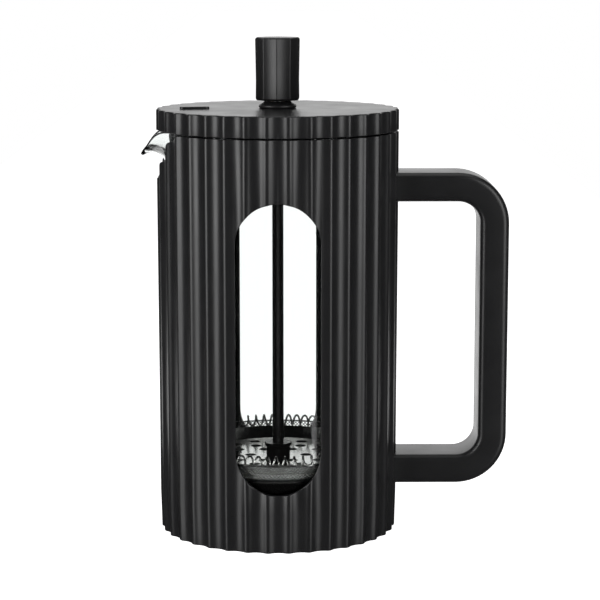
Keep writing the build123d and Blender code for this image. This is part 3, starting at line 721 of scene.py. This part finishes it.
cover_low, cover_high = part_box("lid_cover")
lid_bottom, lid_top = cover_low.z, cover_high.z
lid_radius, lid_round = 53.5 * MM, 0.7 * MM
lid_ceiling, skirt_radius, shank_radius = lid_top - 2.4 * MM, 50.05 * MM, 5.0 * MM
cover_loops = [
    (lid_ceiling, shank_radius, 0), (lid_ceiling, 20 * MM, 0), (lid_ceiling, skirt_radius - 0.5 * MM, 0),
    (lid_ceiling - 0.5 * MM, skirt_radius, 0), (lid_bottom + ease, skirt_radius, 0),
    (lid_bottom, skirt_radius + ease, 0),
    *corner(lid_bottom + ease, lid_radius - ease, ease, -90, 0, 3, 1),
    (lid_bottom + 4 * MM, lid_radius, 1),
    *corner(lid_top - lid_round, lid_radius - lid_round, lid_round, 0, 90, 7, 1),
    (lid_top, lid_radius - 3 * MM, 0.5), (lid_top, lid_radius - 6 * MM, 0),
    (lid_top, 30 * MM, 0), (lid_top, shank_radius, 0),
]
cover = skin("fluted_cover", fluted_rings(cover_loops, FLUTES, FLUTE_DEPTH, ARRIS, 0, 18), "joined")
smooth(cover)
lid_plastic = moulded_plastic("spark-textured lid", "131314", 0.31, 0.45 * MM, 0.010 * MM)
dress(cover, lid_plastic, "lid", ["lid_cover"])

mark_turn = math.radians(190)
bar_long, bar_wide, bar_high, bar_corner = 13.0 * MM, 3.4 * MM, 1.1 * MM, 1.6 * MM
bar_middle = 36.9 * MM
bar_top_round = 0.35 * MM
marker_rings = []
for height, inset in (
    (0.0, 0.0), (bar_high - bar_top_round, 0.0), (bar_high - 0.5 * bar_top_round, 0.13 * bar_top_round),
    (bar_high - 0.13 * bar_top_round, 0.5 * bar_top_round), (bar_high, bar_top_round),
    (bar_high, 0.8 * bar_corner),
):
    ring = []
    for x, y in oblong(bar_long, bar_wide, bar_corner, inset):
        x += bar_middle
        ring.append((
            x * math.cos(mark_turn) - y * math.sin(mark_turn),
            x * math.sin(mark_turn) + y * math.cos(mark_turn), lid_top + height,
        ))
    marker_rings.append(ring)
marker = skin("pouring_mark", marker_rings)
smooth(marker)
dress(marker, lid_plastic, "lid", ["lid_marker"])

liner_plastic = moulded_plastic("liner polypropylene", "161617", 0.36, 0.6 * MM, 0.012 * MM)
dress(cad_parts["lid_liner"], liner_plastic)
dress(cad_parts["lid_seal"], silicone)

# ---- collar, bushes and nut --------------------------------------------------------------------
# A collar clamped through cover and liner guides the rod. It is turned with a low shoulder at its
# foot and a hollow neck, bushed with acetal at both ends, and a steel nut pulls it down.

collar_low, collar_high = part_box("lid_collar")
collar_bore, collar_foot, collar_neck = 3.5 * MM, 7.6 * MM, 6.0 * MM
shoulder_round, shoulder_middle = 0.9 * MM, 7.45 * MM
collar_loops = [
    (collar_low.z, collar_bore, 0), (collar_low.z, shank_radius - ease, 0),
    (collar_low.z + ease, shank_radius, 0), (lid_top, shank_radius, 0), (lid_top, collar_foot, 0),
    *corner(lid_top + shoulder_round, shoulder_middle, shoulder_round, -60, 78, 9, 0),
    (lid_top + 2.15 * MM, 6.75 * MM, 0), (lid_top + 2.6 * MM, 6.2 * MM, 0),
    (collar_high.z - 0.12 * MM, collar_neck, 0), (collar_high.z, collar_neck - 0.15 * MM, 0),
    (collar_high.z, collar_bore, 0),
]
collar = skin("rod_collar", fluted_rings(collar_loops, 12, 0, 0, 0, 8), "joined")
smooth(collar, 40)
collar_plastic = moulded_plastic("collar polypropylene", "1a1a1b", 0.44, 0.4 * MM, 0.008 * MM)
dress(collar, collar_plastic, "lid", ["lid_collar"])

acetal = moulded_plastic("acetal", "cfccc4", 0.38, 0.3 * MM, 0.004 * MM)
dress(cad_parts["rod_bushes"], acetal)
dress(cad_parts["lid_nut"], turned_steel)

# ---- knob with its insert, and the plunger rod --------------------------------------------------
# The grip is a waisted black moulding with ten sharp-ridged flutes over a brass insert. The rod
# below it is drawn stainless steel. It has a thread at its foot and is turned down for the insert.

knob_low, knob_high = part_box("knob")
knob_flutes, knob_depth, knob_arris = 10, 0.75 * MM, 0.45 * MM
knob_foot, knob_waist, knob_head = 10.0 * MM, 9.9 * MM, 10.2 * MM
knob_round, insert_radius = 1.1 * MM, 3.6 * MM
knob_turn = math.radians(-2.5)
insert_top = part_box("knob_insert")[1].z
knob_loops = [
    (insert_top, 0.5 * MM, 0), (insert_top, insert_radius, 0), (knob_low.z, insert_radius, 0),
    (knob_low.z, knob_foot - 2.4 * MM, 0),
    *corner(knob_low.z + knob_round, knob_foot - knob_round, knob_round, -90, 0, 7, 1),
    (knob_low.z + 8.5 * MM, knob_waist, 1), (knob_low.z + 17 * MM, knob_waist + 0.12 * MM, 1),
    *corner(knob_high.z - knob_round, knob_head - knob_round, knob_round, 0, 90, 8, 1),
    (knob_high.z, knob_head - 2.6 * MM, 0), (knob_high.z, 0.5 * MM, 0),
]
knob = skin(
    "fluted_knob",
    fluted_rings(knob_loops, knob_flutes, knob_depth, knob_arris, knob_turn, 36),
)
smooth(knob)
knob_plastic = moulded_plastic("spark-textured knob", "131314", 0.34, 0.45 * MM, 0.012 * MM)
dress(knob, knob_plastic, "plunger", ["knob"])
dress(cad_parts["knob_insert"], metal("brass", "c9a45c", 0.24, 0.2 * MM, 0.14))

rod_low, rod_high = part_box("plunger_rod")
rod_radius, thread_radius = 2.5 * MM, 2.0 * MM
rod_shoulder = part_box("filter_hub")[1].z + 0.05 * MM
thread_pitch, thread_depth, thread_lead = 0.7 * MM, 0.25 * MM, 0.4 * MM
rod_loops = [(rod_low.z, thread_lead, 0), (rod_low.z, thread_radius - thread_lead, 0)]
height = rod_low.z + thread_lead
while height < rod_shoulder - 0.9 * MM:
    rod_loops += [(height, thread_radius, 0), (height + thread_pitch / 2, thread_radius - thread_depth, 0)]
    height += thread_pitch
rod_loops += [
    (rod_shoulder, thread_radius - thread_depth, 0), (rod_shoulder, rod_radius - 0.15 * MM, 0),
    (rod_shoulder + 0.15 * MM, rod_radius, 0), (60 * MM, rod_radius, 0), (100 * MM, rod_radius, 0),
    (150 * MM, rod_radius, 0), (knob_low.z - 0.15 * MM, rod_radius, 0),
    (knob_low.z, rod_radius - 0.15 * MM, 0), (knob_low.z, thread_radius, 0),
    (rod_high.z - thread_lead, thread_radius, 0), (rod_high.z, thread_radius - thread_lead, 0),
    (rod_high.z, thread_lead, 0),
]
rod = skin("polished_rod", fluted_rings(rod_loops, 8, 0, 0, 0, 8))
smooth(rod)
polished_steel = metal("polished stainless rod", "b9bab9", 0.27, 0.5 * MM, 0.07, (1, 1, 0.02), 0.002 * MM)
dress(rod, polished_steel, "plunger", ["plunger_rod"])

# ---- filter stack --------------------------------------------------------------------------------
# A nylon hub clamps the stack: a perforated plate, the coil spring round its rim, the woven screen
# turned up along the glass and a spoked plate below, with a washer and a nut.

dress(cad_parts["filter_hub"], moulded_plastic("dark nylon", "121213", 0.30, 0.5 * MM, 0.01 * MM))
pressed_steel = metal("pressed stainless sheet", "cfcfcd", 0.13, 0.6 * MM, 0.08, (0.3, 1, 1))
dress(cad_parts["spiral_plate"], pressed_steel)
dress(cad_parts["cross_plate"], pressed_steel)
dress(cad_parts["filter_washer"], turned_steel)
dress(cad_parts["filter_nut"], turned_steel)


def wire_bundle(name, lines, radius, sides, copies):
    """Round wires along lines of points, each repeated round the axis by a number of copies."""
    bm = bmesh.new()
    place = bm.verts.layers.int.new("place")
    for line in lines:
        rings = []
        for index in range(1, len(line) - 1):
            along = (line[index + 1] - line[index - 1]).normalized()
            out = Vector((line[index].x, line[index].y, 0)).normalized()
            side = along.cross(out).normalized()
            up = side.cross(along)
            turns = [2 * math.pi * k / sides for k in range(sides)]
            rings.append([line[index] + radius * (math.cos(t) * side + math.sin(t) * up) for t in turns])
        verts = bmesh.ops.create_circle(bm, cap_ends=False, segments=sides, radius=radius)["verts"]
        for k, vert in enumerate(verts):
            vert[place] = k
            vert.co = rings[0][k]
        edges = list({e for v in verts for e in v.link_edges})
        for ring in rings[1:]:
            grown = bmesh.ops.extrude_edge_only(bm, edges=edges)["geom"]
            verts = {g for g in grown if isinstance(g, bmesh.types.BMVert)}
            edges = [g for g in grown if isinstance(g, bmesh.types.BMEdge)]
            edges = [e for e in edges if e.verts[0] in verts and e.verts[1] in verts]
            for vert in verts:
                vert.co = ring[vert[place]]
    bm.verts.layers.int.remove(place)
    bmesh.ops.spin(
        bm, geom=list(bm.verts) + list(bm.edges) + list(bm.faces), cent=(0, 0, 0), axis=(0, 0, 1),
        angle=2 * math.pi * (copies - 1) / copies, steps=copies - 1, use_duplicate=True,
    )
    bmesh.ops.remove_doubles(bm, verts=bm.verts, dist=0.002 * MM)
    return finish_mesh(name, bm)


spring_low, spring_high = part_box("coil_spring")
spring_height = (spring_low.z + spring_high.z) / 2
spring_wire = 0.45 * MM
spring_small = (spring_high.z - spring_low.z) / 2 - spring_wire
spring_large = spring_high.x - (spring_high.z - spring_low.z) / 2
spring_turns, turn_steps = 70, 20
coil = []
for step in range(-1, turn_steps + 2):
    around = 2 * math.pi * step / (spring_turns * turn_steps)
    turn = 2 * math.pi * step / turn_steps
    reach = spring_large + spring_small * math.cos(turn)
    coil.append(Vector((
        reach * math.cos(around), reach * math.sin(around), spring_height + spring_small * math.sin(turn)
    )))
spring = wire_bundle("ring_spring", [coil], spring_wire, 8, spring_turns)
smooth(spring, 80)
spring_steel = metal("drawn spring wire", "d6d6d4", 0.14, 0.2 * MM, 0.08)
dress(spring, spring_steel, "filter", ["coil_spring"])

screen_low, screen_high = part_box("mesh_screen")
screen_radius, cloth = screen_high.x, 0.5 * MM
skirt_low, skirt_high = screen_low.z + 1.5 * MM, screen_high.z
mid_radius = screen_radius - cloth / 2
wire_radius, weave = 0.18 * MM, 0.09 * MM
wires, per_crossing = 190, 2
skirt_rise = skirt_high - 0.15 * MM - skirt_low
crossings = skirt_rise / mid_radius / (math.pi / wires)
segments = round(crossings * per_crossing)
lines = []
for lean in (1, -1):
    for wire in (0, 1):
        line = []
        for step in range(-1, segments + 2):
            share = step / segments
            angle = 2 * math.pi * wire / wires + lean * skirt_rise / mid_radius * share
            reach = mid_radius + lean * weave * math.cos(math.pi * (wire + crossings * share))
            line.append(Vector((
                reach * math.cos(angle), reach * math.sin(angle), skirt_low + skirt_rise * share
            )))
        lines.append(line)
skirt = wire_bundle("woven_skirt", lines, wire_radius, 5, wires // 2)
smooth(skirt, 100)
bright_wire = metal("woven stainless wire", "d2d3d2", 0.2, 0.15 * MM, 0.1)
dress(skirt, bright_wire, "filter", ["mesh_screen"])

# the cloth under the plates, with its turned-up corner, and the folded hem round the top
hem, fold = 0.55 * MM, 0.16 * MM
cloth_hole, cloth_thick, cloth_inset, bend = 3.25 * MM, 0.25 * MM, 0.1 * MM, 1.3 * MM
cloth_under, cloth_end = screen_low.z + cloth_inset, skirt_low + cloth_inset
cloth_out = screen_radius - cloth_inset
base_loops = [
    (cloth_under, cloth_hole, 0), (cloth_under, 20 * MM, 0),
    *corner(cloth_under + bend, cloth_out - bend, bend, -90, 0, 6, 0),
    (cloth_end, cloth_out, 0), (cloth_end, cloth_out - cloth_thick, 0),
    *corner(cloth_under + bend, cloth_out - bend, bend - cloth_thick, 0, -90, 6, 0),
    (cloth_under + cloth_thick, 20 * MM, 0), (cloth_under + cloth_thick, cloth_hole, 0),
]
cloth_base = skin("woven_base", fluted_rings(base_loops, 24, 0, 0, 0, 8), "joined")
smooth(cloth_base)
woven = bpy.data.materials.new("woven stainless cloth")
woven.use_nodes = True
tree = woven.node_tree
shader = tree.nodes["Principled BSDF"]
shader.inputs["Metallic"].default_value = 1.0
place = add_node(tree, "ShaderNodeTexCoord").outputs["Object"]
apart = add_node(tree, "ShaderNodeSeparateXYZ", links={"Vector": place})
threads = []
for axis in ("X", "Y"):
    phase = add_node(
        tree, "ShaderNodeMath", {1: 2 * math.pi / (1.1 * MM)}, {0: apart.outputs[axis]}, operation="MULTIPLY"
    )
    wave = add_node(tree, "ShaderNodeMath", links={0: phase.outputs[0]}, operation="SINE")
    threads.append(add_node(tree, "ShaderNodeMath", links={0: wave.outputs[0]}, operation="ABSOLUTE"))
cloth_height = add_node(
    tree, "ShaderNodeMath", links={0: threads[0].outputs[0], 1: threads[1].outputs[0]}, operation="MAXIMUM"
)
# the gaps between the threads are painted dark (2a2a2a) and the thread tops bright steel: painted shade in
# the weave
weave_gap_painted_shade = add_node(
    tree, "ShaderNodeMapRange", {"From Min": 0.35, "From Max": 0.9, "To Min": 0.0, "To Max": 1.0},
    {"Value": cloth_height.outputs[0]},
)
tone = add_node(tree, "ShaderNodeMix", links={0: weave_gap_painted_shade.outputs[0]}, data_type="RGBA")
tone.inputs[6].default_value = linear("2a2a2a")
tone.inputs[7].default_value = linear("cfd0cf")
tree.links.new(tone.outputs[2], shader.inputs["Base Color"])
shader.inputs["Roughness"].default_value = 0.3
relief = add_node(
    tree, "ShaderNodeBump", {"Strength": 1.0, "Distance": 0.12 * MM}, {"Height": cloth_height.outputs[0]}
)
tree.links.new(relief.outputs[0], shader.inputs["Normal"])
dress(cloth_base, woven, "filter", ["mesh_screen"])
hem_loops = [
    (skirt_high - hem, screen_radius - cloth, 0), (skirt_high - hem, screen_radius - cloth + fold, 0),
    (skirt_high - fold, screen_radius - cloth + fold, 0), (skirt_high - fold, screen_radius - fold, 0),
    (skirt_high - hem, screen_radius - fold, 0), (skirt_high - hem, screen_radius, 0),
    *corner(skirt_high - cloth / 2, screen_radius - cloth / 2, cloth / 2, 0, 180, 8, 0),
]
hem_ring = skin("folded_hem", fluted_rings(hem_loops, 24, 0, 0, 0, 8), "joined")
smooth(hem_ring)
dress(hem_ring, pressed_steel, "filter", ["mesh_screen"])
